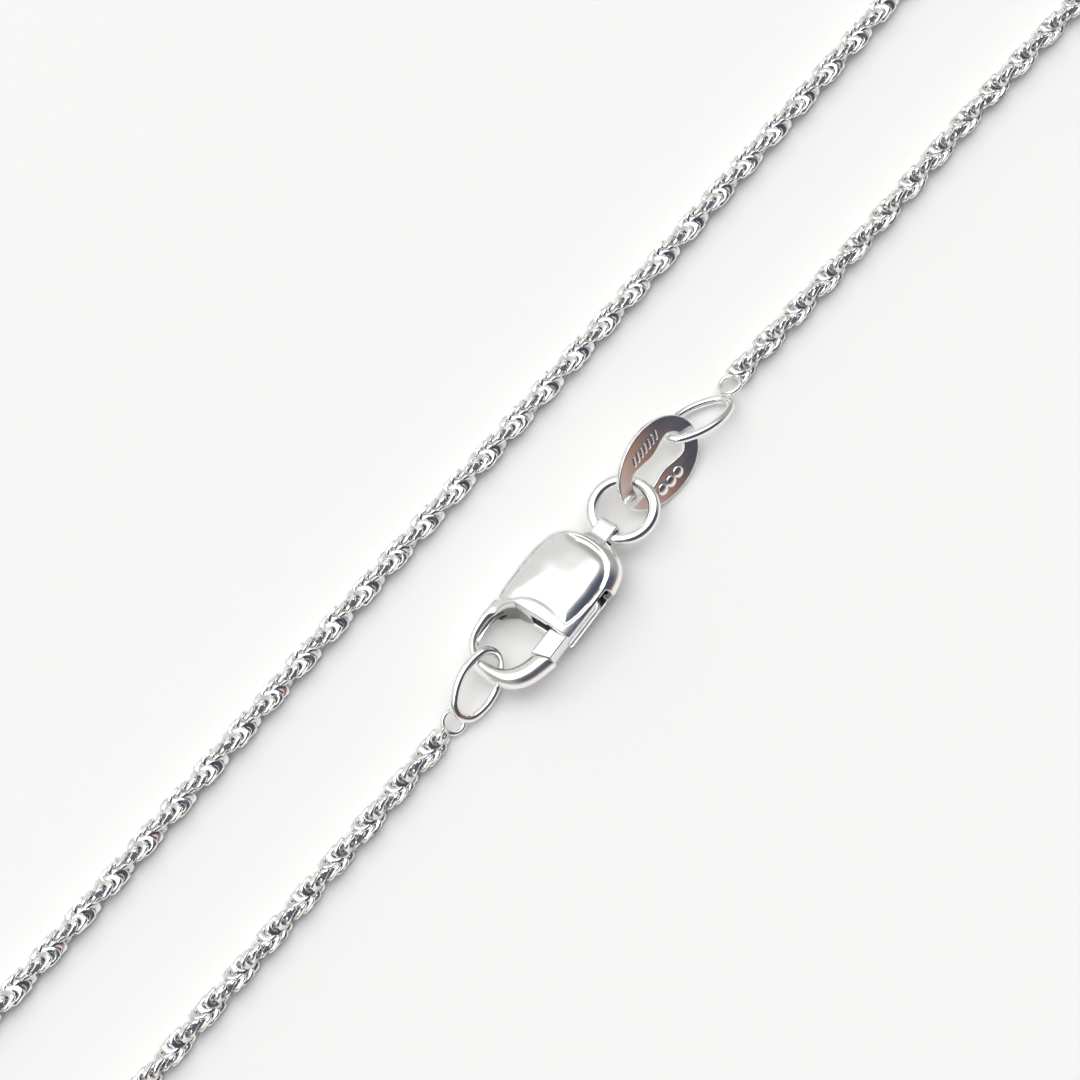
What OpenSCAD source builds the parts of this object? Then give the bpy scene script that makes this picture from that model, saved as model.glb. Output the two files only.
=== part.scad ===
// Rope chain necklace in polished silver, lying closed on a surface as a long narrow loop.
// Millimetres. +X runs along the loop, +Z is up, and the origin is the middle of its footprint.

/* [Rope] */
// Thickness of the rope chain
rope_d = 1.4; // [1.3:0.02:1.5]
// Outer diameter of the plain ring soldered to each end of the rope
end_ring_od = 1.56; // [1.5:0.01:1.6]
// Wire of the plain ring at each end of the rope
end_ring_wire = 0.3; // [0.26:0.01:0.32]

/* [End links] */
// Outer length of the oval link at the hook
hook_link_len = 4.5; // [4.44:0.01:4.56]
// Outer length of the oval link at the tag
tag_link_len = 4.9; // [4.84:0.01:4.96]
// Outer width of both oval links
link_w = 2.9; // [2.84:0.01:2.96]
// Wire of both oval links
link_wire = 0.5; // [0.46:0.01:0.52]

/* [Jump ring] */
// Outer diameter of the jump ring
jump_od = 4.2; // [4.14:0.01:4.26]
// Wire of the jump ring
jump_wire = 0.7; // [0.66:0.01:0.72]

/* [Quality tag] */
// Length of the oval tag
tag_len = 6.1; // [5.9:0.05:6.3]
// Width of the oval tag
tag_w = 4.4; // [4.3:0.02:4.44]
// Thickness of the tag's plate
tag_t = 0.3; // [0.26:0.01:0.32]
// Length of the slot in the tag
slot_len = 4.2; // [4.16:0.01:4.3]
// Width of the slot at its two round ends
slot_w = 1.5; // [1.48:0.01:1.6]
// Width of the slot at its waist
slot_waist = 1.1; // [1.0:0.02:1.3]

/* [Clasp] */
// Length of the clasp without its ear
clasp_len = 10.2; // [10.16:0.01:10.24]
// Width of the clasp
clasp_w = 5.5; // [5.46:0.01:5.56]
// Thickness of the clasp at its domed shell
clasp_h = 2.44; // [2.36:0.02:2.48]
// Thickness of the clasp at its hook
hook_h = 0.96; // [0.9:0.01:1]
// Wall of the hollow shell
shell_wall = 0.3; // [0.26:0.01:0.32]
// How far the raised rim stands proud of the shell
rim_lift = 0.07; // [0.04:0.01:0.09]
// Width of the strap that forms the ear
ear_w = 1.15; // [1:0.01:1.2]
// Thickness of the ear's strap
ear_t = 0.2; // [0.16:0.01:0.22]
// Diameter of the lever's hidden pin
pin_d = 0.6; // [0.5:0.02:0.7]
// Running clearance between the pin and the lever, on the radius
pin_gap = 0.03; // [0.02:0.01:0.05]
// Height of the lever
lever_h = 1.1; // [1:0.02:1.16]

/* [Hidden] */
$fn = 48;

// The rope's centre line, seen from above: out along the lower run from the tag, round the
// far bend, back along the upper run, round the near bend and up to the hook. Its two ends
// are where the end rings are
rope_route = [
    [26, -3.9], [38, -3.9], [50, -4.6], [61, -6.8], [71, -10.4],
    [81, -13.7], [90.5, -14.4], [99, -11.2], [104.3, -4.4], [104.3, 4.4], [99, 11.2],
    [90.5, 14.4], [81, 13.7], [71, 10.4], [61, 6.8], [50, 4.9], [37.5, 4.4],
    [25, 4.3], [12.5, 4.2], [0, 4.2], [-12.5, 4.2], [-25, 4], [-37.5, 3.9],
    [-50, 4.6], [-61, 6.8], [-71, 10.4], [-81, 13.7], [-90.5, 14.4], [-99, 11.2],
    [-104.3, 4.4], [-104.3, -4.4], [-99, -11.2], [-90.5, -14.4], [-81, -13.7], [-71, -10.4],
    [-61, -6.8], [-50, -4.9], [-31, -4.7]];
route_steps = 2;
rope_sides = 8;
rope_flat_r = rope_d / 2;

// Where the small pieces lie and how they are turned. Each one is placed from the piece that
// it is linked to, from the rope's end at the tag round to its end at the hook
ring_lean = 30;
tag_link_turn = [-33, 12.5, -13];
tag_turn = [43, -1, 2];
jump_turn = [-7, -5, 0];
clasp_turn = [-12, 0, 3.4];
hook_link_turn = [41, -4, 12];
link_play = 0.29;
jump_play = 0.22;
ring_fit = 0.06;
function along(turn) = [cos(turn[1]) * cos(turn[2]), cos(turn[1]) * sin(turn[2]), -sin(turn[1])];
rope_start = [14.5, -3.6, rope_d / 2];
tag_ring_place = rope_start + [-0.54, -0.11, 0.16];
tag_link_outer = tag_ring_place + [-0.86, -0.46, -0.13];
tag_link_place = tag_link_outer - (tag_link_len - link_wire) / 2 * along(tag_link_turn);
tag_link_inner = tag_link_outer - (tag_link_len - link_wire) * along(tag_link_turn);
tag_place = tag_link_inner - (slot_len / 2 - link_wire / 2 - link_play) * along(tag_turn)
    + [0, -0.44, 0];
jump_place = tag_place - (slot_len / 2 - jump_play + jump_od / 2 - jump_wire) * along(tag_turn)
    + [0, -0.13, -0.12];
half_len = clasp_len / 2;
clasp_place = jump_place + [0, 0, -0.03]
    - (half_len + rim_lift + ring_fit + jump_od / 2) * along(clasp_turn);
hook_link_inner = clasp_place - half_len * along(clasp_turn) + [1.49, 0.85, -0.04];
hook_link_place = hook_link_inner - (hook_link_len - link_wire) / 2 * along(hook_link_turn);
hook_link_outer = hook_link_inner - (hook_link_len - link_wire) * along(hook_link_turn);
hook_ring_place = hook_link_outer + [-0.38, 0.21, -0.51];
rope_finish = hook_ring_place + [-0.61, -0.06, 0];

// The clasp's outline: its middle line, and how square its ends and its section are. Places
// along it are shares of its half length, and places across it are shares of its half width
half_w = clasp_w / 2;
clasp_mid_y = 0.03 * half_w;
end_power = 3;
section_power = 2.3;
shell_front = -0.168 * half_len;
gate_x = -0.527 * half_len;
slot_back = 0.772 * half_len;
cavity_back = 0.851 * half_len;
fit_gap = 0.06;
side_slot_h = lever_h + 2 * fit_gap + 0.02;
pin_x = 0.317 * half_len;
pin_y = -0.45 * half_w;
pin_seat = 0.12;
jump_inner_r = jump_od / 2 - jump_wire;
ear_sag = jump_inner_r - sqrt(pow(jump_inner_r, 2) - pow(ear_w / 2, 2));
ear_out = half_len + rim_lift + jump_wire + ear_sag + 2 * ring_fit + ear_t;
ear_play = 0.25;
ear_top = 0.55;
ear_low = ear_top - 2 * ear_t - jump_wire - ear_play;

// Ring of the rope's tube at a point, with the direction there
function unit(v) = v / norm(v);
function tube_ring(p, d) = let (side = [-d[1], d[0]], r = rope_flat_r / cos(180 / rope_sides))
    [for (i = [0:rope_sides - 1]) let (a = 360 * (i + 0.5) / rope_sides)
        [p[0] + side[0] * r * cos(a), p[1] + side[1] * r * cos(a), rope_flat_r + r * sin(a)]];

// Smooth curve through the route's points
function spline(a, b, c, d, t) = 0.5 * (2 * b + (c - a) * t + (2 * a - 5 * b + 4 * c - d) * t * t
    + (3 * b - a - 3 * c + d) * t * t * t);
function flat(p) = [p[0], p[1]];
rope_points = concat([flat(rope_start)], rope_route, [flat(rope_finish)]);
function route_point(i, t) = let (n = len(rope_points) - 1)
    spline(rope_points[max(i - 1, 0)], rope_points[i], rope_points[min(i + 1, n)],
           rope_points[min(i + 2, n)], t);
rope_line = concat([for (i = [0:len(rope_points) - 2]) for (s = [0:route_steps - 1])
    route_point(i, s / route_steps)], [flat(rope_finish)]);

module rope_tube() {
    n = len(rope_line);
    rings = [for (i = [0:n - 1])
        tube_ring(rope_line[i], unit(rope_line[min(i + 1, n - 1)] - rope_line[max(i - 1, 0)]))];
    m = rope_sides;
    polyhedron(
        points = [for (r = rings) each r],
        faces = concat([[for (j = [0:m - 1]) j]],
            [for (i = [0:n - 2]) for (j = [0:m - 1])
                [i * m + j, (i + 1) * m + j, (i + 1) * m + (j + 1) % m, i * m + (j + 1) % m]],
            [[for (j = [m - 1:-1:0]) (n - 1) * m + j]]));
}

module wire_ring(outer, wire) {
    rotate_extrude() translate([(outer - wire) / 2, 0]) circle(d = wire);
}

module rope_chain() {
    color("silver") union() {
        rope_tube();
        translate(tag_ring_place) rotate([-ring_lean, 0, 0])
            wire_ring(end_ring_od, end_ring_wire);
        translate(hook_ring_place) rotate([ring_lean, 0, 0])
            wire_ring(end_ring_od, end_ring_wire);
    }
}

// Oval link of four arcs of wire, lying flat along X: each long side turns by twice side_turn.
// The wire's middle line is found from the direction phi that it faces outwards
side_turn = 30;
link_steps = 48;
wire_sides = 12;
function oval_point(phi, a, b) = let (
        between = (a - b) / (sin(side_turn) + cos(side_turn) - 1),
        r_end = a - between * sin(side_turn), r_side = r_end + between)
    abs(cos(phi)) > sin(side_turn)
        ? [sign(cos(phi)) * (a - r_end) + r_end * cos(phi), r_end * sin(phi)]
        : [r_side * cos(phi), sign(sin(phi)) * (b - r_side) + r_side * sin(phi)];
module oval_link(length, width, wire) {
    n = link_steps;
    m = wire_sides;
    rings = [for (i = [0:n - 1]) let (phi = 360 * (i + 0.5) / n,
                                      p = oval_point(phi, (length - wire) / 2, (width - wire) / 2))
        [for (j = [0:m - 1]) let (t = 360 * j / m, out = wire / 2 * cos(t))
            [p[0] + out * cos(phi), p[1] + out * sin(phi), wire / 2 * sin(t)]]];
    polyhedron(
        points = [for (r = rings) each r],
        faces = [for (i = [0:n - 1]) for (j = [0:m - 1]) let (k = (i + 1) % n, l = (j + 1) % m)
            [i * m + j, i * m + l, k * m + l, k * m + j]]);
}

module end_link_hook() {
    color("gainsboro") translate(hook_link_place) rotate(hook_link_turn)
        oval_link(hook_link_len, link_w, link_wire);
}

module end_link_tag() {
    color("gainsboro") translate(tag_link_place) rotate(tag_link_turn)
        oval_link(tag_link_len, link_w, link_wire);
}

module jump_ring() {
    color("lightgray") translate(jump_place) rotate(jump_turn) wire_ring(jump_od, jump_wire);
}

// Half width of the tag's slot, widest at its two round ends
function slot_half(x) = let (e = slot_len / 2 - slot_w / 2, u = min(1, abs(x) / e))
    abs(x) > e ? sqrt(max(0, pow(slot_w / 2, 2) - pow(abs(x) - e, 2)))
               : (slot_waist + (slot_w - slot_waist) * u * u) / 2;

module quality_tag() {
    steps = 36;
    slot_x = [for (i = [0:steps]) slot_len / 2 * sin(-90 + 180 * i / steps)];
    color("silver") translate(tag_place) rotate(tag_turn) union() {
        translate([0, 0, -tag_t / 2]) linear_extrude(tag_t) difference() {
            polygon([for (i = [0:2 * steps - 1])
                [tag_len / 2 * cos(180 * i / steps), tag_w / 2 * sin(180 * i / steps)]]);
            polygon(concat([for (x = slot_x) [x, -slot_half(x)]],
                           [for (i = [steps - 1:-1:1]) [slot_x[i], slot_half(slot_x[i])]]));
        }
        tag_pearls();
        tag_hatch();
    }
}

// Three round pearls on the lower lobe of the tag
pearl_d = 0.46;
pearl_pitch = 0.66;
pearl_y = -1.36;
pearl_rise = 0.07;
module tag_pearls() {
    ball_r = (pow(pearl_d / 2, 2) + pearl_rise * pearl_rise) / (2 * pearl_rise);
    for (i = [-1:1]) translate([i * pearl_pitch - 0.1, pearl_y + 0.05 * abs(i), tag_t / 2])
        intersection() {
            translate([0, 0, pearl_rise - ball_r]) sphere(r = ball_r);
            translate([0, 0, -tag_t / 3]) cylinder(d = pearl_d, h = tag_t);
        }
}

// A row of slanted bars on the upper lobe of the tag
hatch_count = 7;
hatch_pitch = 0.34;
hatch_y = 1.3;
hatch_lean = 64;
hatch_bar = [0.54, 0.1];
hatch_rise = 0.04;
hatch_root = 0.03;
module tag_hatch() {
    for (i = [0:hatch_count - 1]) translate([(i - (hatch_count - 1) / 2) * hatch_pitch, hatch_y,
        tag_t / 2 - hatch_root]) rotate([0, 0, hatch_lean])
        translate([-hatch_bar[0] / 2, -hatch_bar[1] / 2, 0])
            cube([hatch_bar[0], hatch_bar[1], hatch_rise + hatch_root]);
}

// The clasp's full shape before it is opened: sections along X that round off at both ends
function end_round(x, a) = pow(max(0, 1 - pow(abs(x) / a, end_power)), 1 / end_power);
function ease(t) = let (u = min(1, max(0, t))) u * u * (3 - 2 * u);
function half_height(x) = hook_h / 2 + (clasp_h - hook_h) / 2 * ease((x / half_len + 0.87) / 0.79);
function section_point(a, b, h) = [
    b * sign(cos(a)) * pow(abs(cos(a)), 2 / section_power),
    h * sign(sin(a)) * pow(abs(sin(a)), 2 / section_power)];
module clasp_form(grow, sections, sides) {
    a = half_len + grow;
    xs = [for (i = [1:sections - 1]) a * sin(-90 + 180 * i / sections)];
    ring = [for (x = xs) let (f = end_round(x, a), b = (half_w + grow) * f,
                              h = (half_height(x) + grow) * pow(f, 0.8))
        [for (j = [0:sides - 1]) let (p = section_point(360 * j / sides, b, h))
            [x, clasp_mid_y + p[0], p[1]]]];
    n = len(ring);
    low = n * sides;
    polyhedron(
        points = concat([for (r = ring) each r], [[-a, clasp_mid_y, 0], [a, clasp_mid_y, 0]]),
        faces = concat(
            [for (j = [0:sides - 1]) [low, j, (j + 1) % sides]],
            [for (i = [0:n - 2]) for (j = [0:sides - 1])
                [i * sides + j, (i + 1) * sides + j, (i + 1) * sides + (j + 1) % sides,
                 i * sides + (j + 1) % sides]],
            [for (j = [0:sides - 1])
                [low + 1, (n - 1) * sides + (j + 1) % sides, (n - 1) * sides + j]]));
}

function on_clasp(shares) = [for (p = shares) [p[0] * half_len, p[1] * half_w]];

// What the hook leaves open, seen from above, out to the gate that the lever closes
hook_opening = on_clasp([
    [-0.83, 0.24], [-0.82, 0.43], [-0.77, 0.59], [-0.69, 0.69], [-0.575, 0.73], [-0.375, 0.73],
    [-0.24, 0.635], [-0.168, 0.47], [-0.168, -1.18], [-0.39, -1.18],
    [-0.527, -0.39], [-0.59, -0.34], [-0.68, -0.275], [-0.77, -0.15], [-0.82, 0.02]]);

// The line inside the raised rim, seen from above
rim_inside = on_clasp([
    [-0.19, 1.18], [-0.16, 0.63], [-0.09, 0.455], [-0.03, 0.235], [-0.015, -0.08], [-0.03, -0.39],
    [-0.06, -0.765], [0.3, -0.85], [0.63, -0.81], [0.75, -0.7], [0.85, -0.39], [0.88, 0],
    [0.85, 0.47], [0.77, 1.18]]);

// The ear: a thin strap folded round the jump ring
module ear() {
    r_out = 0.36;
    module outline(inset) {
        x_end = ear_out - inset;
        x_root = half_len - 1;
        top = ear_top - inset;
        low = ear_low + inset;
        r = r_out - inset;
        steps = 8;
        polygon(concat([[x_root, low]],
            [for (i = [0:steps]) [x_end - r + r * cos(-90 + 90 * i / steps),
                                  low + r + r * sin(-90 + 90 * i / steps)]],
            [for (i = [0:steps]) [x_end - r + r * cos(90 * i / steps),
                                  top - r + r * sin(90 * i / steps)]],
            [[x_root, top]]));
    }
    translate([0, ear_w / 2, 0]) rotate([90, 0, 0]) linear_extrude(ear_w) difference() {
        outline(0);
        outline(ear_t);
    }
}

module clasp_body() {
    color("whitesmoke") translate(clasp_place) rotate(clasp_turn) difference() {
        union() {
            clasp_form(0, 30, 36);
            intersection() {
                clasp_form(rim_lift, 30, 36);
                difference() {
                    translate([shell_front, -4, -3]) cube([half_len - shell_front + 1, 8, 6]);
                    translate([0, 0, -4]) linear_extrude(8) polygon(rim_inside);
                }
            }
            ear();
        }
        intersection() {
            clasp_form(-shell_wall, 20, 28);
            translate([shell_front - 1, -4, -3]) cube([cavity_back - shell_front + 1, 8, 6]);
        }
        translate([0, 0, -3]) linear_extrude(6) polygon(hook_opening);
        translate([shell_front - 1, -4, -side_slot_h / 2])
            cube([slot_back - shell_front + 1, 3, side_slot_h]);
        translate([pin_x, pin_y, -pin_half()]) cylinder(d = pin_d, h = 2 * pin_half());
    }
}

// Half length of the pin: from the middle to its seat inside the shell's wall
function pin_half() = inner_height(pin_x, pin_y) + pin_seat;
function inner_height(x, y) = let (a = half_len - shell_wall, f = end_round(x, a),
    b = (half_w - shell_wall) * f, h = (half_height(x) - shell_wall) * pow(f, 0.8))
    h * pow(1 - pow(abs(y - clasp_mid_y) / b, section_power), 1 / section_power);

// The lever seen from above: a bar from the gate back to a round boss on the pin
lever_in = -0.385 * half_w;
lever_out = -0.804 * half_w;
boss_r = pin_y - lever_out;
module clasp_lever() {
    steps = 20;
    color("white") translate(clasp_place) rotate(clasp_turn)
        translate([0, 0, -lever_h / 2]) difference() {
            linear_extrude(lever_h) polygon(concat(
                [[gate_x + fit_gap + 0.02, lever_in], [gate_x + fit_gap + 0.36, lever_out]],
                [for (i = [0:steps]) [pin_x + boss_r * cos(-90 + 180 * i / steps),
                                      pin_y + boss_r * sin(-90 + 180 * i / steps)]],
                [[0.6, lever_in + 0.3], [-0.2, lever_in]]));
            translate([pin_x, pin_y, -1]) cylinder(d = pin_d + 2 * pin_gap, h = lever_h + 2);
        }
}

module lever_pin() {
    color("gray") translate(clasp_place) rotate(clasp_turn)
        translate([pin_x, pin_y, -pin_half()]) cylinder(d = pin_d, h = 2 * pin_half());
}

rope_chain();
end_link_hook();
end_link_tag();
jump_ring();
quality_tag();
clasp_body();
clasp_lever();
lever_pin();
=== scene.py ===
import math

import bpy
import numpy as np
from mathutils import Euler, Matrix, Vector


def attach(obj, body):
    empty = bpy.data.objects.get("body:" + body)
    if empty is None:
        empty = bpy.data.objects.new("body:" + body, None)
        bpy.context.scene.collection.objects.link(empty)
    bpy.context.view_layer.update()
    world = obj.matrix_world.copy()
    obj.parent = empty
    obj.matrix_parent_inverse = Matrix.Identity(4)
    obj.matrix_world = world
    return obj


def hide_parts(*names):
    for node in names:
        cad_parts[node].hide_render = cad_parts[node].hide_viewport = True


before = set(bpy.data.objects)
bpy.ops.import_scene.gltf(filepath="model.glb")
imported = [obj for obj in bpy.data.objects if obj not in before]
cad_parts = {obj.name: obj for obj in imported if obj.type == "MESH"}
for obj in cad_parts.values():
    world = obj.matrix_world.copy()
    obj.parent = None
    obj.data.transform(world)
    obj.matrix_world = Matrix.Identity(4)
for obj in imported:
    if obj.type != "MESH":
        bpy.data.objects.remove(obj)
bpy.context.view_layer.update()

scene = bpy.context.scene
mm = 0.001
print("frame loaded:", ", ".join(sorted(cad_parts)))


# Helpers for objects, node trees and finished meshes

def addObject(name, data):
    made = bpy.data.objects.new(name, data)
    scene.collection.objects.link(made)
    return made


def addNode(tree, kind, inputs=None, **settings):
    made = tree.nodes.new(kind)
    for name, value in settings.items():
        setattr(made, name, value)
    for key, value in (inputs or {}).items():
        if isinstance(value, bpy.types.NodeSocket):
            tree.links.new(value, made.inputs[key])
        else:
            made.inputs[key].default_value = value
    return made


def calc(tree, operation, a, b=0.0, c=0.0):
    return addNode(tree, "ShaderNodeMath", {0: a, 1: b, 2: c}, operation=operation).outputs[0]


def vectorCalc(tree, operation, a, b):
    return addNode(tree, "ShaderNodeVectorMath", {0: a, 1: b}, operation=operation).outputs[0]


def addMesh(name, points, faces, paint, place, turn):
    spin = np.array(Euler([math.radians(t) for t in turn]).to_matrix())
    world = (np.asarray(points) @ spin.T + np.array(place)) * mm
    data = bpy.data.meshes.new(name)
    data.from_pydata(world.tolist(), [], np.asarray(faces).tolist())
    data.polygons.foreach_set("use_smooth", [True] * len(data.polygons))
    data.materials.append(paint)
    data.update()
    return addObject(name, data)


def finishPiece(piece, body, node):
    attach(piece, body)
    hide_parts(node)
    print(piece.name, "made:", len(piece.data.polygons), "faces")


# The camera looks down at the clasp from the lower side of the loop

cameraView = {"target": (0, -1.35, 0.6), "distance": 180, "fieldWidth": 60, "elevation": 70,
              "heading": 39.64, "sensorWidth": 36, "clip": (1, 10000)}


def placeCamera():
    view = cameraView
    elevation, heading = math.radians(view["elevation"]), math.radians(view["heading"])
    forward = Vector((math.cos(elevation) * math.cos(heading),
                      math.cos(elevation) * math.sin(heading), -math.sin(elevation)))
    data = bpy.data.cameras.new("camera")
    data.sensor_width = view["sensorWidth"]
    data.lens = data.sensor_width * view["distance"] / view["fieldWidth"]
    data.clip_start, data.clip_end = [reach * mm for reach in view["clip"]]
    camera = addObject("camera", data)
    camera.location = (Vector(view["target"]) - view["distance"] * forward) * mm
    camera.rotation_euler = forward.to_track_quat("-Z", "Y").to_euler()
    scene.camera = camera


placeCamera()
scene.view_settings.view_transform = "Standard"
print("camera placed")


# Studio: a bright top, a pale wall behind the loop, and a dark one in front of it that turns warm
# low down. The tones run in degrees over the top, from the horizon behind to the one in front,
# and pass into one grey towards the far ends of the loop

studio = {"floorTone": (0.974, 0.968, 0.957), "floorReach": 3.0, "floorRoughness": 0.9,
          "floorGloss": 0.1, "keyPower": 6.5, "keySize": 1.2, "keyPlace": (-0.2, 0.9, 1.5),
          "openEnds": (0.6, 0.85), "endTone": (0.36, 0.37, 0.35),
          "tones": [(-90, (0.70, 0.70, 0.69)), (-55, (0.72, 0.72, 0.71)), (-28, (0.80, 0.80, 0.79)),
                    (-12, (1.7, 1.7, 1.7)), (0, (2.8, 2.8, 2.8)), (8, (2.2, 2.2, 2.2)),
                    (13, (0.7, 0.72, 0.74)), (18, (0.15, 0.18, 0.22)), (38, (0.07, 0.08, 0.12)),
                    (69, (0.075, 0.085, 0.11)), (77, (0.36, 0.2, 0.145)), (88, (0.62, 0.52, 0.48))]}


def lightStudio():
    world = bpy.data.worlds.new("studio")
    scene.world = world
    world.use_nodes = True
    tree = world.node_tree
    tree.nodes.clear()
    place = addNode(tree, "ShaderNodeTexCoord").outputs["Generated"]
    axes = addNode(tree, "ShaderNodeSeparateXYZ", {0: place}).outputs
    over = calc(tree, "ARCTAN2", calc(tree, "MULTIPLY", axes["Y"], -1.0), axes["Z"])
    share = calc(tree, "MULTIPLY_ADD", over, 1 / math.pi, 0.5)
    ramp = addNode(tree, "ShaderNodeValToRGB", {0: share})
    stops = ramp.color_ramp.elements
    while len(stops) < len(studio["tones"]):
        stops.new(0.5)
    for stop, (degrees, tone) in zip(stops, studio["tones"]):
        stop.position = degrees / 180 + 0.5
        stop.color = (*tone, 1)
    ends = addNode(tree, "ShaderNodeMapRange",
                   {"Value": calc(tree, "ABSOLUTE", axes["X"]), "From Min": studio["openEnds"][0],
                    "From Max": studio["openEnds"][1]}, interpolation_type="SMOOTHSTEP").outputs[0]
    walls = addNode(tree, "ShaderNodeMix", {0: ends, 6: ramp.outputs["Color"],
                                            7: (*studio["endTone"], 1)}, data_type="RGBA")
    back = addNode(tree, "ShaderNodeBackground", {"Color": walls.outputs[2]})
    addNode(tree, "ShaderNodeOutputWorld", {"Surface": back.outputs[0]})

    light = bpy.data.lights.new("key", "AREA")
    light.energy = studio["keyPower"]
    light.size = studio["keySize"]
    key = addObject("key", light)
    key.location = studio["keyPlace"]
    key.rotation_euler = (-Vector(studio["keyPlace"])).to_track_quat("-Z", "Y").to_euler()

    reach = studio["floorReach"]
    floor = bpy.data.meshes.new("floor")
    floor.from_pydata([(x * reach, y * reach, 0) for x, y in ((-1, -1), (1, -1), (1, 1), (-1, 1))],
                      [], [(0, 1, 2, 3)])
    paper = bpy.data.materials.new("pale paper")
    paper.use_nodes = True
    skin = paper.node_tree.nodes["Principled BSDF"].inputs
    skin["Base Color"].default_value = (*studio["floorTone"], 1)
    skin["Roughness"].default_value = studio["floorRoughness"]
    skin["Specular IOR Level"].default_value = studio["floorGloss"]
    floor.materials.append(paper)
    addObject("floor", floor)


lightStudio()
print("studio lit")


# Polished silver. Fine grain changes its gloss a little, and a bump carries its hairlines

grainNoise = {"detail": 4.0, "low": 0.35, "high": 0.7, "depth": 0.004}


def silver(name, tone=(0.95, 0.945, 0.935), shine=0.06, spread=0.06, grain=900.0, relief=0.05,
           stretch=(1, 1, 1)):
    paint = bpy.data.materials.new(name)
    paint.use_nodes = True
    tree = paint.node_tree
    skin = tree.nodes["Principled BSDF"]
    place = addNode(tree, "ShaderNodeTexCoord").outputs["Object"]
    drawn = addNode(tree, "ShaderNodeMapping", {"Vector": place, "Scale": stretch}).outputs[0]
    fine = addNode(tree, "ShaderNodeTexNoise",
                   {"Vector": drawn, "Scale": grain, "Detail": grainNoise["detail"]}).outputs[0]
    rough = addNode(tree, "ShaderNodeMapRange",
                    {"Value": fine, "From Min": grainNoise["low"], "From Max": grainNoise["high"],
                     "To Min": shine, "To Max": shine + spread}).outputs[0]
    bump = addNode(tree, "ShaderNodeBump",
                   {"Strength": relief, "Distance": grainNoise["depth"] * mm, "Height": fine})
    skin.inputs["Base Color"].default_value = (*tone, 1)
    skin.inputs["Metallic"].default_value = 1.0
    tree.links.new(rough, skin.inputs["Roughness"])
    tree.links.new(bump.outputs[0], skin.inputs["Normal"])
    return paint


# Rings and links of round wire, each bent round its own flat line

def wireLoop(middle, outward, wire, sides):
    around = np.arange(sides) * 2 * np.pi / sides
    flat = middle[:, None, :] + outward[:, None, :] * (wire / 2 * np.cos(around))[None, :, None]
    rise = np.broadcast_to(wire / 2 * np.sin(around), flat.shape[:2])
    points = np.concatenate([flat, rise[:, :, None]], 2).reshape(-1, 3)
    n = len(middle)
    i, j = np.meshgrid(np.arange(n), np.arange(sides), indexing="ij")
    k, l = (i + 1) % n, (j + 1) % sides
    faces = np.stack([i * sides + j, k * sides + j, k * sides + l, i * sides + l], 2).reshape(-1, 4)
    return points, faces


def roundLoop(outer, wire, steps, sides):
    turn = np.arange(steps) * 2 * np.pi / steps
    outward = np.stack([np.cos(turn), np.sin(turn)], 1)
    return wireLoop(outward * (outer - wire) / 2, outward, wire, sides)


def ovalLoop(length, width, wire, sideTurn, steps, sides):
    turn = (np.arange(steps) + 0.5) * 2 * np.pi / steps
    a, b = (length - wire) / 2, (width - wire) / 2
    s, c = math.sin(math.radians(sideTurn)), math.cos(math.radians(sideTurn))
    between = (a - b) / (s + c - 1)
    endRadius = a - between * s
    sideRadius = endRadius + between
    outward = np.stack([np.cos(turn), np.sin(turn)], 1)
    atEnd = np.stack([np.sign(outward[:, 0]) * (a - endRadius) + endRadius * outward[:, 0],
                      endRadius * outward[:, 1]], 1)
    atSide = np.stack([sideRadius * outward[:, 0],
                       np.sign(outward[:, 1]) * (b - sideRadius) + sideRadius * outward[:, 1]], 1)
    middle = np.where(np.abs(outward[:, :1]) > s, atEnd, atSide)
    return wireLoop(middle, outward, wire, sides)


# A link's sides bend on a wide arc, over sideTurn degrees each way, and its ends on a tight one
endLinks = {"width": 2.9, "wire": 0.5, "sideTurn": 30, "steps": 96, "sides": 24,
            "end_link_hook": {"length": 4.5, "place": (-8.7916, -4.2446, 1.2684),
                              "turn": (41, -4, 12)},
            "end_link_tag": {"length": 4.9, "place": (11.0072, -3.6868, 1.2062),
                             "turn": (-33, 12.5, -13)}}
ringWire = {"outer": 4.2, "wire": 0.7, "steps": 112, "sides": 28,
            "place": (4.0781, -3.9426, 1.4779), "turn": (-7, -5, 0)}


def makeWirePieces():
    linkSilver = silver("link silver")
    for node in ("end_link_hook", "end_link_tag"):
        one = endLinks[node]
        points, faces = ovalLoop(one["length"], endLinks["width"], endLinks["wire"],
                                 endLinks["sideTurn"], endLinks["steps"], endLinks["sides"])
        piece = addMesh(node + "_wire", points, faces, linkSilver, one["place"], one["turn"])
        finishPiece(piece, "necklace", node)
    points, faces = roundLoop(ringWire["outer"], ringWire["wire"], ringWire["steps"],
                              ringWire["sides"])
    piece = addMesh("jump_ring_wire", points, faces, silver("ring silver"), ringWire["place"],
                    ringWire["turn"])
    finishPiece(piece, "necklace", "jump_ring")


makeWirePieces()


# Solids with soft edges: a field, negative inside, is sampled on a grid of cells and skinned
# where it is zero. In a few passes each point is then drawn on to the field's own surface, by
# the slope that a probe to each side finds. The probe and the longest stride are in cells

skinning = {"passes": 4, "probe": 0.1, "stride": 0.4, "leastSlope": 0.2}


def softMax(a, b, soft):
    share = np.clip(0.5 + 0.5 * (a - b) / soft, 0, 1)
    return b + (a - b) * share + soft * share * (1 - share)


def softMin(a, b, soft):
    return -softMax(-a, -b, soft)


def ease(t):
    u = np.clip(t, 0, 1)
    return u * u * (3 - 2 * u)


def easeFrom(value, start, width):
    return ease((value - start) / width)


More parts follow.
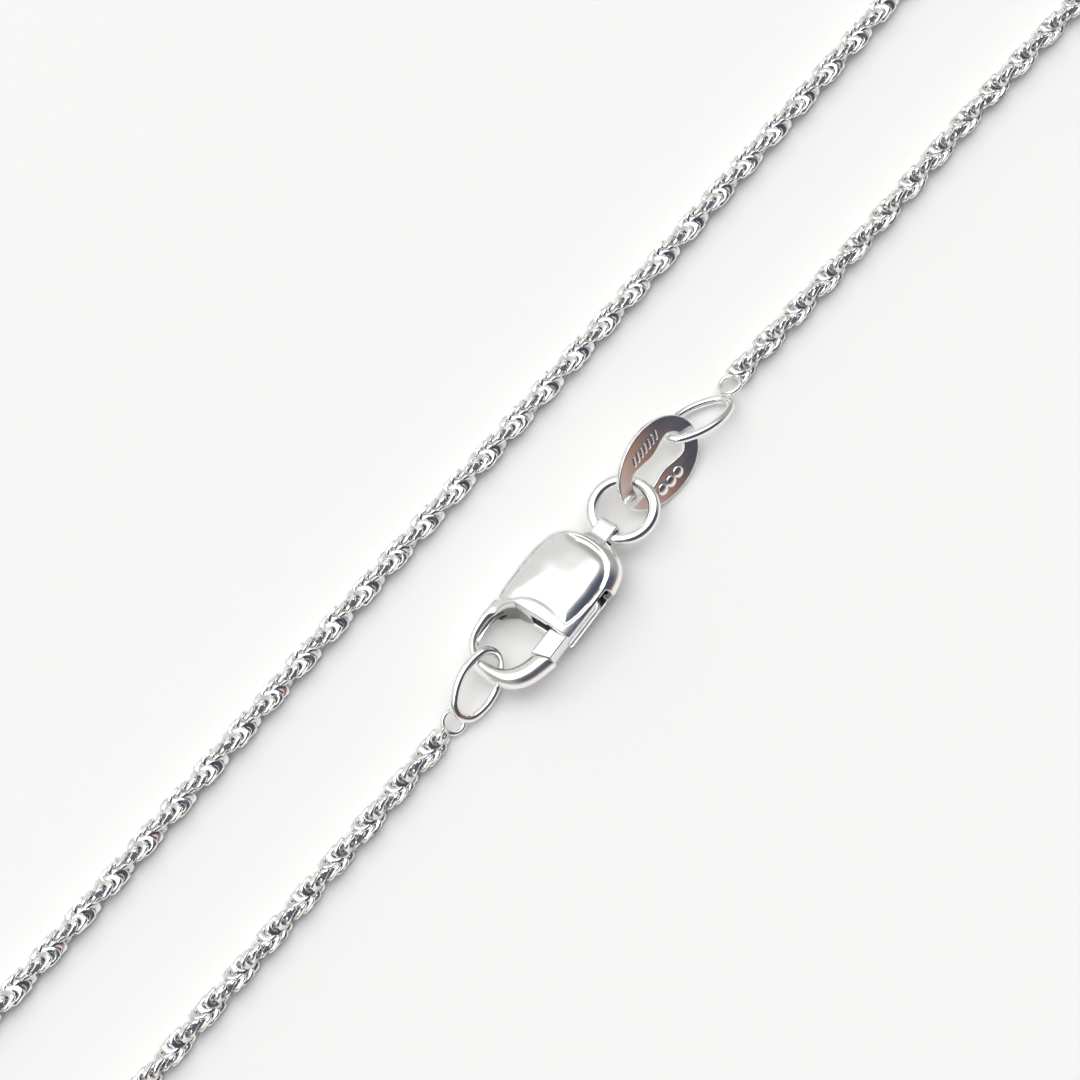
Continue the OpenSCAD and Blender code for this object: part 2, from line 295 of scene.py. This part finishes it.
# A smooth line through the points
def bow(points, steps=5):
    p = np.array([points[0]] + points + [points[-1]], float)
    made = []
    for a, b, c, d in zip(p[:-3], p[1:-2], p[2:-1], p[3:]):
        for t in np.arange(steps) / steps:
            made.append(tuple(0.5 * (2 * b + (c - a) * t + (2 * a - 5 * b + 4 * c - d) * t * t
                                     + (3 * b - a - 3 * c + d) * t ** 3)))
    return made + [tuple(p[-1])]


# Distance to the line that joins the corners and closes, negative inside it
def outlineDistance(x, y, corners):
    nearest, inside = 1e9, False
    for (ax, ay), (bx, by) in zip(corners, corners[1:] + corners[:1]):
        ex, ey = bx - ax, by - ay
        share = np.clip(((x - ax) * ex + (y - ay) * ey) / (ex * ex + ey * ey), 0, 1)
        nearest = np.minimum(nearest, (x - ax - ex * share) ** 2 + (y - ay - ey * share) ** 2)
        if ay != by:
            inside = inside ^ (((ay > y) != (by > y)) & (x < ax + ex * (y - ay) / ey))
    return np.where(inside, -1, 1) * np.sqrt(nearest)


def skinField(field, low, high, cell):
    low = np.array(low, float)
    counts = [int(math.ceil((h - l) / cell)) + 1 for l, h in zip(low, high)]
    axes = [l + cell * np.arange(n) for l, n in zip(low, counts)]
    value = np.broadcast_to(field(axes[0][:, None, None], axes[1][None, :, None], axes[2]), counts)
    cells = np.array(counts) - 1
    edges = []
    for axis in range(3):
        first = [slice(None)] * 3
        second = [slice(None)] * 3
        first[axis], second[axis] = slice(0, -1), slice(1, None)
        a, b = value[tuple(first)], value[tuple(second)]
        crossed = (a < 0) != (b < 0)
        at = np.argwhere(crossed)
        a, b = a[crossed], b[crossed]
        point = at.astype(float)
        point[:, axis] += a / (a - b)
        edges.append((at, point, a < 0))
    total = np.zeros(cells.prod())
    sums = np.zeros((3, cells.prod()))
    quads = []
    for axis, (at, point, outward) in enumerate(edges):
        u, v = (axis + 1) % 3, (axis + 2) % 3
        corners = []
        for du, dv in ((-1, -1), (0, -1), (0, 0), (-1, 0)):
            spot = at.copy()
            spot[:, u] += du
            spot[:, v] += dv
            flat = (spot[:, 0] * cells[1] + spot[:, 1]) * cells[2] + spot[:, 2]
            total += np.bincount(flat, minlength=len(total))
            for k in range(3):
                sums[k] += np.bincount(flat, point[:, k], minlength=len(total))
            corners.append(flat)
        quad = np.stack(corners, 1)
        quad[~outward] = quad[~outward, ::-1]
        quads.append(quad)
    used = np.flatnonzero(total)
    index = np.zeros(len(total), int)
    index[used] = np.arange(len(used))
    points = (sums[:, used] / total[used]).T * cell + low
    step, longest = skinning["probe"] * cell, skinning["stride"] * cell
    for _ in range(skinning["passes"]):
        here = field(*points.T)
        slope = np.stack([(field(*(points + step * d).T) - field(*(points - step * d).T))
                          / (2 * step) for d in np.eye(3)], 1)
        move = -slope * (here / np.maximum((slope ** 2).sum(1), skinning["leastSlope"]))[:, None]
        reach = np.linalg.norm(move, axis=1, keepdims=True)
        points = points + move * np.minimum(1, longest / np.maximum(reach, 1e-9))
    return points, index[np.concatenate(quads)]


# Clasp, in its own frame: X towards the ear, Z up. The hook is at its left, the domed shell at
# its right, and the lever lies in the slot along its lower side. A name with From says where a
# change begins and over what width it comes in

clasp = {"place": (-3.2390, -4.3773, 1.4479), "turn": (-12, 0, 3.4), "cell": 0.052,
         "gridLow": (-5.3, -2.85, -1.42), "gridHigh": (6.5, 3.0, 1.42),
         "finish": {"shine": 0.17, "spread": 0.12, "relief": 0.14},
         "halfLength": 5.1, "halfWidth": 2.75, "middleY": 0.0825, "hookHeight": 0.48,
         "shellHeight": 1.22, "heightFrom": (-0.87, 0.79), "hookPower": 4.0, "earPower": 5.5,
         "sidePower": 2.2, "topPower": 2.1, "taper": 0.2, "taperFrom": (1.2, 2.2),
         "wall": 0.34, "cavity": (-1.857, 4.34), "bulkhead": -0.45, "bulkheadFrom": (-1.05, 0.15),
         "slotHalf": 0.61, "slotBack": 2.75, "slotTop": -1.0, "swingTop": 0.3,
         "swingFrom": (-1.0, 0.15), "barHeight": 0.64, "barFrom": (1.0, 1.3),
         "rimLift": 0.06, "rimFrom": (-1.3, 0.6), "valley": 0.2, "valleyWidth": 0.45,
         "bulge": 0.05, "bankWidth": 0.26, "fadeFromY": (0.6, 1.2), "fadeFromX": (2.5, 1.5),
         "edge": 0.06, "grooves": [(-2.6, 2.03, 0.14), (-2.3, 2.03, -0.4)],
         "grooveSize": (1.5, 0.3, 0.25), "grooveDepth": 0.25}

# The ear: a loop of folded strap, its foot inside the shell
strap = {"middle": (5.2135, -0.125), "reach": (1.1, 0.675), "bend": 0.34, "thick": 0.2,
         "halfWidth": 0.575, "foot": 4.2}

# Inner outline of the hook's opening, then the gate that the lever closes
hookCurve = [(-3.01, -0.935), (-3.47, -0.756), (-3.93, -0.41), (-4.18, 0.055), (-4.23, 0.66),
             (-4.18, 1.18), (-3.93, 1.62), (-3.52, 1.90), (-2.93, 2.01), (-1.91, 2.01),
             (-1.22, 1.75), (-0.857, 1.29)]
gateCorners = [(-0.857, -3.3), (-1.99, -3.3), (-2.688, -1.0725)]

# Valley between the dome and the rim round it, from the far side round the front to the ear
valleyCurve = [(-1.2, 6.0), (-1.0, 2.4), (-0.74, 1.6), (-0.42, 1.2), (-0.17, 0.65), (-0.09, 0.1),
               (-0.11, -0.5), (-0.21, -1.12), (-0.33, -1.80), (0.3, -2.02), (1.1, -2.12),
               (2.0, -2.14), (2.8, -2.08), (3.4, -1.88), (3.9, -1.5), (4.24, -0.92), (4.38, -0.2),
               (4.38, 0.5), (4.25, 1.5), (4.0, 6.0)]


def claspHeight(x):
    low, high = clasp["hookHeight"], clasp["shellHeight"]
    return low + (high - low) * easeFrom(x / clasp["halfLength"], *clasp["heightFrom"])


def claspOuter(x, y, z):
    c = clasp
    a, h = c["halfLength"], claspHeight(x)
    b = c["halfWidth"] - c["taper"] * easeFrom(-x, *c["taperFrom"]) * ease(0.5 - y / 1.5)
    power, side, top = np.where(x > 0, c["earPower"], c["hookPower"]), c["sidePower"], c["topPower"]
    u, w, t = np.abs(x / a), np.abs((y - c["middleY"]) / b), np.abs(z / h)
    slope = np.sqrt((power * u ** (power - 1) / a) ** 2 + (side * w ** (side - 1) / b) ** 2
                    + (top * t ** (top - 1) / h) ** 2 + 0.02)  # 0.02 keeps it above zero
    return (u ** power + w ** side + t ** top - 1) / slope


valleyLine = bow(valleyCurve)
openingLine = bow(hookCurve) + gateCorners
barLine = bow([(-0.8, -1.25), (-2.2, -1.1)] + hookCurve + [(-0.6, 0.0)])


def domeRelief(x, y):
    depth = -outlineDistance(x, y, valleyLine)
    c = clasp
    rim = c["rimLift"] * easeFrom(x, *c["rimFrom"])
    sink = np.exp(-np.maximum(depth, 0) / c["valleyWidth"])
    dome = c["bulge"] - (c["bulge"] + c["valley"]) * sink
    fade = 1 - easeFrom(y, *c["fadeFromY"]) * easeFrom(x, *c["fadeFromX"])
    bank = ease(0.5 + depth / c["bankWidth"])
    return (rim + (dome - rim) * bank) * fade


def strapDistance(x, y, z):
    s = strap

    def loop(inset):
        dx = np.abs(x - s["middle"][0]) - (s["reach"][0] - inset) + s["bend"]
        dz = np.abs(z - s["middle"][1]) - (s["reach"][1] - inset) + s["bend"]
        corner = np.hypot(np.maximum(dx, 0), np.maximum(dz, 0))
        return corner + np.minimum(np.maximum(dx, dz), 0) - s["bend"]

    ring = softMax(loop(0), -loop(s["thick"]), 0.05)
    return softMax(softMax(ring, np.abs(y) - s["halfWidth"], 0.09), s["foot"] - x, 0.1)


def claspField(x, y, z):
    c = clasp
    outer = claspOuter(x, y, z)
    body = outer - domeRelief(x, y)
    body = softMin(body, strapDistance(x, y, z), 0.12)

    # The hollow, and the lever's slot, which is taller where the open lever swings in
    low, high = c["cavity"]
    front = low + (c["bulkhead"] - low) * easeFrom(y, *c["bulkheadFrom"])
    cavity = softMax(softMax(outer + c["wall"], front - x, 0.1), x - high, 0.3)
    body = softMax(body, -cavity, 0.05)
    top = c["slotTop"] + (c["swingTop"] - c["slotTop"]) * easeFrom(x, *c["swingFrom"])
    slot = softMax(softMax(np.abs(z) - c["slotHalf"], y - top, 0.1), x - c["slotBack"], 0.3)
    slot = softMax(slot, low - x, 0.1)
    body = softMax(body, -slot, c["edge"])

    # The hook's bar turns round in section as it leaves the shell
    inner, rim = outlineDistance(x, y, barLine), -claspOuter(x, y, 0 * z)
    middle = (inner - rim) / np.maximum(inner + rim, 0.3)
    tube = (np.sqrt((z / c["barHeight"]) ** 2 + middle ** 2) - 1) * 0.5
    body = body + (tube - body) * easeFrom(-x, *c["barFrom"])
    body = softMax(body, -outlineDistance(x, y, openingLine), 0.1)

    # Two shallow file marks on the wall inside the hook
    length, width, height = c["grooveSize"]
    for gx, gy, gz in c["grooves"]:
        groove = np.sqrt(((x - gx) / length) ** 2 + ((y - gy) / width) ** 2
                         + ((z - gz) / height) ** 2)
        body = softMax(body, (1 - groove) * c["grooveDepth"], 0.05)
    return body


# Painted shade: the wall inside the hook, in the shade of the dome, is given a darker colour
insideWallShade = {"middle": (-1.5, 1.3, -0.25), "reach": (2.1, 1.25, 0.9), "fade": (0.75, 1.0),
              "tone": (0.24, 0.25, 0.22)}


def paintInsideShade(paint):
    tree = paint.node_tree
    place = addNode(tree, "ShaderNodeTexCoord").outputs["Object"]
    own = addNode(tree, "ShaderNodeMapping",
                  {"Vector": place, "Location": [v * mm for v in clasp["place"]],
                   "Rotation": [math.radians(v) for v in clasp["turn"]], "Scale": (mm, mm, mm)},
                  vector_type="TEXTURE").outputs[0]
    away = vectorCalc(tree, "SUBTRACT", own, insideWallShade["middle"])
    shrunk = vectorCalc(tree, "DIVIDE", away, insideWallShade["reach"])
    far = addNode(tree, "ShaderNodeVectorMath", {0: shrunk}, operation="LENGTH").outputs[1]
    share = addNode(tree, "ShaderNodeMapRange", {"Value": far, "From Min": insideWallShade["fade"][0],
                                                 "From Max": insideWallShade["fade"][1]}).outputs[0]
    skin = tree.nodes["Principled BSDF"]
    plain = tuple(skin.inputs["Base Color"].default_value)
    tone = addNode(tree, "ShaderNodeMix", {0: share, 6: (*insideWallShade["tone"], 1), 7: plain},
                   data_type="RGBA").outputs[2]
    tree.links.new(tone, skin.inputs["Base Color"])


def makeClasp():
    points, faces = skinField(claspField, clasp["gridLow"], clasp["gridHigh"], clasp["cell"])
    paint = silver("clasp silver", **clasp["finish"])
    # Painted shade on the wall inside the hook
    paintInsideShade(paint)
    piece = addMesh("clasp_shell", points, faces, paint, clasp["place"], clasp["turn"])
    finishPiece(piece, "necklace", "clasp_body")


makeClasp()


# Lever: a sprung bar from the gate back to a round boss on the pin

lever = {"cell": 0.05, "gridLow": (-2.8, -2.35, -0.65), "gridHigh": (2.7, -0.15, 0.65),
         "finish": {"shine": 0.14, "spread": 0.1, "relief": 0.15, "stretch": (1, 6, 6)},
         "half": 0.55, "pin": (1.6167, -1.2375), "bore": 0.33, "boss": 0.9735, "bossSteps": 40,
         "bossTop": -0.264, "inner": -1.05875, "outer": -2.211, "gate": -2.6877,
         "gateLean": (0.08, 0.42), "edge": 0.14}


def leverOutline():
    px, py = lever["pin"]
    corners = [(lever["gate"] + lean, y)
               for lean, y in zip(lever["gateLean"], (lever["inner"], lever["outer"]))]
    for step in range(lever["bossSteps"] + 1):
        turn = math.radians(180 * step / lever["bossSteps"] - 90)
        corners.append((px + lever["boss"] * math.cos(turn), py + lever["boss"] * math.sin(turn)))
    return corners + bow([(px, lever["bossTop"]), (0.6, lever["inner"] + 0.3),
                          (-0.2, lever["inner"]), (-1.2, lever["inner"])])[1:]


leverLine = leverOutline()


def leverField(x, y, z):
    px, py = lever["pin"]
    bar = softMax(outlineDistance(x, y, leverLine), np.abs(z) - lever["half"], lever["edge"])
    return softMax(bar, lever["bore"] - np.hypot(x - px, y - py), 0.04)


def makeLever():
    points, faces = skinField(leverField, lever["gridLow"], lever["gridHigh"], lever["cell"])
    paint = silver("lever silver", **lever["finish"])
    piece = addMesh("clasp_lever_bar", points, faces, paint, clasp["place"], clasp["turn"])
    finishPiece(piece, "lever", "clasp_lever")


# The pin is drawn steel wire, and keeps its own shape
pinFinish = {"tone": (0.72, 0.72, 0.74), "shine": 0.2, "spread": 0.12, "grain": 400.0,
             "relief": 0.2, "stretch": (1, 1, 8)}


def finishPin():
    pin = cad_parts["lever_pin"]
    pin.data.materials.clear()
    pin.data.materials.append(silver("pin steel", **pinFinish))
    print("pin finished")


makeLever()
finishPin()


# Tag: a thin, slightly twisted oval plate with a slot, three pearls and a row of slanted bars

tag = {"place": (7.3556, -3.6981, 1.6551), "turn": (43, -1, 2), "cell": 0.042,
       "gridLow": (-3.15, -2.3, -0.25), "gridHigh": (3.15, 2.3, 0.3),
       "finish": {"tone": (0.9, 0.89, 0.88), "shine": 0.12, "spread": 0.12, "grain": 300.0,
                  "relief": 0.25, "stretch": (1, 9, 9)},
       "length": 6.1, "width": 4.4, "thick": 0.3, "twist": -0.036, "edge": 0.07,
       "slotLength": 4.2, "slotWidth": 1.5, "waist": 1.1,
       "pearlRadius": 0.31, "pearlFlatness": 3.0, "pearlPitch": 0.66, "pearlX": -0.1,
       "pearlY": -1.36, "pearlBow": 0.05, "bars": 7, "barPitch": 0.34, "barY": 1.3, "barLean": 64,
       "barHalf": 0.22, "barRadius": 0.05, "barRise": 0.04}


def slotHalf(x):
    reach = tag["slotLength"] / 2 - tag["slotWidth"] / 2
    waist, full = tag["waist"] / 2, tag["slotWidth"] / 2
    return waist + (full - waist) * ease(np.abs(x) / reach)


def tagField(x, y, height):
    t = tag
    z = height - t["twist"] * x * y
    a, b = t["length"] / 2, t["width"] / 2
    level = (x / a) ** 2 + (y / b) ** 2
    rim = (level - 1) / (2 * np.sqrt((x / a / a) ** 2 + (y / b / b) ** 2) + 0.05)
    reach = t["slotLength"] / 2 - t["slotWidth"] / 2
    over = np.maximum(np.abs(x) - reach, 0)
    slot = np.hypot(over, y) - slotHalf(np.minimum(np.abs(x), reach))
    plate = softMax(softMax(rim, -slot, 0.02), np.abs(z) - t["thick"] / 2, t["edge"])
    face = z - t["thick"] / 2
    for i in (-1, 0, 1):
        px, py = i * t["pearlPitch"] + t["pearlX"], t["pearlY"] + t["pearlBow"] * abs(i)
        away = np.sqrt((x - px) ** 2 + (y - py) ** 2 + (face * t["pearlFlatness"]) ** 2)
        plate = softMin(plate, (away - t["pearlRadius"]) * 0.6, 0.02)
    c, s = math.cos(math.radians(t["barLean"])), math.sin(math.radians(t["barLean"]))
    for i in range(t["bars"]):
        bx = x - (i - (t["bars"] - 1) / 2) * t["barPitch"]
        along, across = bx * c + (y - t["barY"]) * s, -bx * s + (y - t["barY"]) * c
        bar = np.hypot(np.maximum(np.abs(along) - t["barHalf"], 0), across) - t["barRadius"]
        plate = softMin(plate, softMax(bar, np.abs(face) - t["barRise"], 0.03), 0.03)
    return plate


def makeTag():
    points, faces = skinField(tagField, tag["gridLow"], tag["gridHigh"], tag["cell"])
    paint = silver("tag silver", **tag["finish"])
    piece = addMesh("quality_tag_plate", points, faces, paint, tag["place"], tag["turn"])
    finishPiece(piece, "necklace", "quality_tag")


makeTag()


# Rope: small rings in two strands, each ring turned a little over half way round from the one
# before, cut flat where they stand out furthest, and bent along the route. A plain ring is
# soldered to each end

rope = {"radius": 0.7, "spacing": 0.25, "ringRadius": 0.38, "wire": (0.5, 0.3), "ringSteps": 16,
        "wireSides": 6, "offset": 0.26, "lean": 14, "roll": 30, "turnPerLink": 197.2,
        "firstTurn": 0, "sway": 0.06, "seed": 7, "cutDistance": 0.645, "cutSides": 8,
        "cutTurn": 22.5, "endGap": 0.05, "routeSteps": 32,
        "finish": {"shine": 0.1, "spread": 0.08, "relief": 0.08}}
ropeEnds = {"outer": 1.56, "wire": 0.3, "steps": 64, "sides": 16,
            "tag": {"place": (13.96, -3.71, 0.86), "turn": (-30, 0, 0)},
            "hook": {"place": (-11.1231, -4.4494, 0.6188), "turn": (30, 0, 0)}}
ropeRoute = [
    (14.5, -3.6), (26, -3.9), (38, -3.9), (50, -4.6), (61, -6.8), (71, -10.4), (81, -13.7),
    (90.5, -14.27), (99, -11.2), (104.3, -4.4), (104.3, 4.4), (99, 11.2), (90.5, 14.27), (81, 13.7),
    (71, 10.4), (61, 6.8), (50, 4.9), (37.5, 4.4), (25, 4.3), (12.5, 4.2), (0, 4.2), (-12.5, 4.2),
    (-25, 4), (-37.5, 3.9), (-50, 4.6), (-61, 6.8), (-71, 10.4), (-81, 13.7), (-90.5, 14.27),
    (-99, 11.2), (-104.3, 4.4), (-104.3, -4.4), (-99, -11.2), (-90.5, -14.27), (-81, -13.7),
    (-71, -10.4), (-61, -6.8), (-50, -4.9), (-31, -4.7), (-11.7331, -4.5094)]

# Painted shade: the silver's colour is darkened in the hollows between the strands, close to the
# rope's middle line, and kept bright towards its outside
ropeHollowShade = {"hollow": (0.62, 0.62, 0.62), "open": (0.97, 0.965, 0.955), "from": 0.35, "to": 0.7}


def paintHollowShade(paint):
    tree = paint.node_tree
    reach = addNode(tree, "ShaderNodeAttribute", attribute_name="reach").outputs["Fac"]
    share = addNode(tree, "ShaderNodeMapRange", {"Value": reach, "From Min": ropeHollowShade["from"],
                                                 "From Max": ropeHollowShade["to"]}).outputs[0]
    tone = addNode(tree, "ShaderNodeMix", {0: share, 6: (*ropeHollowShade["hollow"], 1),
                                           7: (*ropeHollowShade["open"], 1)}, data_type="RGBA").outputs[2]
    tree.links.new(tone, tree.nodes["Principled BSDF"].inputs["Base Color"])


def ropeTree(paint):
    tree = bpy.data.node_groups.new("twisted rope", "GeometryNodeTree")
    face = tree.interface
    face.new_socket("Route", in_out="INPUT", socket_type="NodeSocketGeometry")
    whole, real = "NodeSocketInt", "NodeSocketFloat"
    for name, kind in (
            ("First Link", whole), ("Link Count", whole), ("Link Spacing", real),
            ("Start Gap", real), ("Ring Radius", real), ("Ring Steps", whole),
            ("Wire Depth", real), ("Wire Width", real), ("Wire Sides", whole),
            ("Ring Offset", real), ("First Turn", real), ("Cut Turn", real), ("Ring Lean", real),
            ("Ring Roll", real), ("Turn Per Link", real), ("Cut Distance", real),
            ("Cut Sides", real), ("Rope Radius", real), ("Seed", whole)):
        face.new_socket(name, in_out="INPUT", socket_type=kind)
    face.new_socket("Rope", in_out="OUTPUT", socket_type="NodeSocketGeometry")
    given = addNode(tree, "NodeGroupInput").outputs

    # One ring of wire, offset from the rope's middle line and leaning across it
    circle = addNode(tree, "GeometryNodeCurvePrimitiveCircle",
                     {"Resolution": given["Ring Steps"], "Radius": given["Ring Radius"]})
    section = addNode(tree, "GeometryNodeCurvePrimitiveCircle",
                      {"Resolution": given["Wire Sides"], "Radius": 0.5})
    flatter = addNode(tree, "ShaderNodeCombineXYZ",
                      {0: given["Wire Depth"], 1: given["Wire Width"]})
    wire = addNode(tree, "GeometryNodeTransform",
                   {"Geometry": section.outputs["Curve"], "Scale": flatter.outputs[0]})
    ring = addNode(tree, "GeometryNodeCurveToMesh",
                   {"Curve": circle.outputs["Curve"], "Profile Curve": wire.outputs[0]})
    turned = addNode(tree, "ShaderNodeCombineXYZ", {0: given["Ring Roll"], 1: given["Ring Lean"]})
    moved = addNode(tree, "ShaderNodeCombineXYZ", {1: given["Ring Offset"]})
    ready = addNode(tree, "GeometryNodeTransform",
                    {"Geometry": ring.outputs[0], "Translation": moved.outputs[0],
                     "Rotation": turned.outputs[0]})

    # The rings stand in a row, each turned on from the last
    number = calc(tree, "ADD", addNode(tree, "GeometryNodeInputIndex").outputs[0],
                  given["First Link"])
    start = calc(tree, "MULTIPLY_ADD", given["First Link"], given["Link Spacing"],
                 given["Start Gap"])
    row = addNode(tree, "GeometryNodeMeshLine",
                  {"Count": given["Link Count"],
                   "Start Location": addNode(tree, "ShaderNodeCombineXYZ", {0: start}).outputs[0],
                   "Offset": addNode(tree, "ShaderNodeCombineXYZ",
                                     {0: given["Link Spacing"]}).outputs[0]})
    sway = addNode(tree, "FunctionNodeRandomValue",
                   {2: -rope["sway"], 3: rope["sway"], "ID": number, "Seed": given["Seed"]},
                   data_type="FLOAT").outputs[1]
    spin = calc(tree, "ADD", calc(tree, "MULTIPLY_ADD", number, given["Turn Per Link"], sway),
                given["First Turn"])
    rings = addNode(tree, "GeometryNodeInstanceOnPoints",
                    {"Points": row.outputs[0], "Instance": ready.outputs[0],
                     "Rotation": addNode(tree, "ShaderNodeCombineXYZ", {0: spin}).outputs[0]})
    solid = addNode(tree, "GeometryNodeRealizeInstances", {0: rings.outputs[0]}).outputs[0]

    # Diamond cuts: what stands out past the cut distance is laid flat, on evenly turned planes
    x, y, z = addNode(tree, "ShaderNodeSeparateXYZ",
                      {0: addNode(tree, "GeometryNodeInputPosition").outputs[0]}).outputs
    angle = calc(tree, "SUBTRACT", calc(tree, "ARCTAN2", z, y), given["Cut Turn"])
    share = calc(tree, "DIVIDE", 2 * math.pi, given["Cut Sides"])
    turns = calc(tree, "ROUND", calc(tree, "DIVIDE", angle, share))
    plane = calc(tree, "MULTIPLY_ADD", turns, share, given["Cut Turn"])
    cosine, sine = calc(tree, "COSINE", plane), calc(tree, "SINE", plane)
    out = calc(tree, "ADD", calc(tree, "MULTIPLY", y, cosine), calc(tree, "MULTIPLY", z, sine))
    isCut = addNode(tree, "FunctionNodeCompare", {0: out, 1: given["Cut Distance"]},
                    data_type="FLOAT", operation="GREATER_EQUAL").outputs[0]
    # The distance from the rope's middle line is stored for the painted shade in the hollows
    reach = calc(tree, "SQRT", calc(tree, "ADD", calc(tree, "MULTIPLY", y, y),
                                    calc(tree, "MULTIPLY", z, z)))
    marked = addNode(tree, "GeometryNodeStoreNamedAttribute",
                     {"Geometry": solid, "Name": "reach",
                      "Value": calc(tree, "DIVIDE", reach, given["Rope Radius"])},
                     data_type="FLOAT", domain="POINT")
    held = addNode(tree, "GeometryNodeCaptureAttribute", {0: marked.outputs[0]})
    held.capture_items.new("BOOLEAN", "Cut")
    tree.links.new(isCut, held.inputs[1])
    kept = calc(tree, "DIVIDE", calc(tree, "MINIMUM", out, given["Cut Distance"]), out)
    cutY, cutZ = calc(tree, "MULTIPLY", y, kept), calc(tree, "MULTIPLY", z, kept)
    cut = addNode(tree, "GeometryNodeSetPosition",
                  {"Geometry": held.outputs[0],
                   "Position": addNode(tree, "ShaderNodeCombineXYZ",
                                       {0: x, 1: cutY, 2: cutZ}).outputs[0]})

    # The row is bent along the route, lying on the surface
    line = addNode(tree, "GeometryNodeMeshToCurve", {0: given["Route"]}).outputs[0]
    smooth = addNode(tree, "GeometryNodeCurveSplineType", {0: line},
                     spline_type="CATMULL_ROM").outputs[0]
    fine = addNode(tree, "GeometryNodeSetSplineResolution",
                   {0: smooth, "Resolution": rope["routeSteps"]}).outputs[0]
    spot = addNode(tree, "ShaderNodeSeparateXYZ",
                   {0: addNode(tree, "GeometryNodeInputPosition").outputs[0]}).outputs
    sample = addNode(tree, "GeometryNodeSampleCurve", {"Curves": fine, "Length": spot[0]},
                     mode="LENGTH", use_all_curves=True)
    side = vectorCalc(tree, "CROSS_PRODUCT", (0, 0, 1), sample.outputs["Tangent"])
    across = addNode(tree, "ShaderNodeVectorMath", {0: side, "Scale": spot[1]},
                     operation="SCALE").outputs[0]
    rise = addNode(tree, "ShaderNodeCombineXYZ",
                   {2: calc(tree, "ADD", spot[2], given["Rope Radius"])}).outputs[0]
    beside = vectorCalc(tree, "ADD", sample.outputs["Position"], across)
    bent = addNode(tree, "GeometryNodeSetPosition",
                   {"Geometry": cut.outputs[0], "Position": vectorCalc(tree, "ADD", beside, rise)})
    uncut = addNode(tree, "FunctionNodeBooleanMath", {0: held.outputs[1]},
                    operation="NOT").outputs[0]
    shaded = addNode(tree, "GeometryNodeSetShadeSmooth",
                     {0: bent.outputs[0], "Shade Smooth": uncut})
    single = addNode(tree, "GeometryNodeRealizeInstances", {0: shaded.outputs[0]})
    painted = addNode(tree, "GeometryNodeSetMaterial", {0: single.outputs[0], "Material": paint})
    addNode(tree, "NodeGroupOutput", {0: painted.outputs[0]})
    return tree


def routeLength():
    p = np.array(ropeRoute)
    ahead = np.concatenate([p[:1], p, p[-1:]])
    t = np.linspace(0, 1, rope["routeSteps"] + 1)[:, None, None]
    a, b, c, d = ahead[:-3], ahead[1:-2], ahead[2:-1], ahead[3:]
    line = 0.5 * (2 * b + (c - a) * t + (2 * a - 5 * b + 4 * c - d) * t ** 2
                  + (3 * b - a - 3 * c + d) * t ** 3)
    return float(np.linalg.norm(np.diff(line, axis=0), axis=2).sum())


def makeRope():
    paint = silver("rope silver", **rope["finish"])
    # Painted shade in the rope's hollows
    paintHollowShade(paint)
    tree = ropeTree(paint)
    sockets = {item.name: item.identifier for item in tree.interface.items_tree
               if item.item_type == "SOCKET" and item.in_out == "INPUT"}
    total = int((routeLength() - 2 * rope["endGap"]) / rope["spacing"]) + 1
    half = total // 2
    for name, first, count in (("rope_from_tag", 0, half), ("rope_to_hook", half, total - half)):
        path = bpy.data.meshes.new("route")
        path.from_pydata([(x * mm, y * mm, 0) for x, y in ropeRoute],
                         [(i, i + 1) for i in range(len(ropeRoute) - 1)], [])
        holder = addObject("route", path)
        bend = holder.modifiers.new("rope", "NODES")
        bend.node_group = tree
        for label, value in (
                ("First Link", first), ("Link Count", count),
                ("Link Spacing", rope["spacing"] * mm), ("Start Gap", rope["endGap"] * mm),
                ("Ring Radius", rope["ringRadius"] * mm), ("Ring Steps", rope["ringSteps"]),
                ("Wire Depth", rope["wire"][0] * mm), ("Wire Width", rope["wire"][1] * mm),
                ("Wire Sides", rope["wireSides"]), ("Ring Offset", rope["offset"] * mm),
                ("First Turn", math.radians(rope["firstTurn"])),
                ("Ring Lean", math.radians(rope["lean"])),
                ("Ring Roll", math.radians(-rope["roll"])),
                ("Turn Per Link", math.radians(rope["turnPerLink"])),
                ("Cut Turn", math.radians(rope["cutTurn"])),
                ("Cut Distance", rope["cutDistance"] * mm),
                ("Cut Sides", float(rope["cutSides"])),
                ("Rope Radius", rope["radius"] * mm), ("Seed", rope["seed"])):
            bend[sockets[label]] = value
        bpy.context.view_layer.update()
        made = holder.evaluated_get(bpy.context.evaluated_depsgraph_get())
        plain = bpy.data.meshes.new_from_object(made)
        bpy.data.objects.remove(holder)
        finishPiece(addObject(name, plain), "necklace", "rope_chain")
    plainSilver = silver("end ring silver")
    points, faces = roundLoop(ropeEnds["outer"], ropeEnds["wire"], ropeEnds["steps"],
                              ropeEnds["sides"])
    for end in ("tag", "hook"):
        piece = addMesh("rope_end_ring_" + end, points, faces, plainSilver, ropeEnds[end]["place"],
                        ropeEnds[end]["turn"])
        finishPiece(piece, "necklace", "rope_chain")


makeRope()
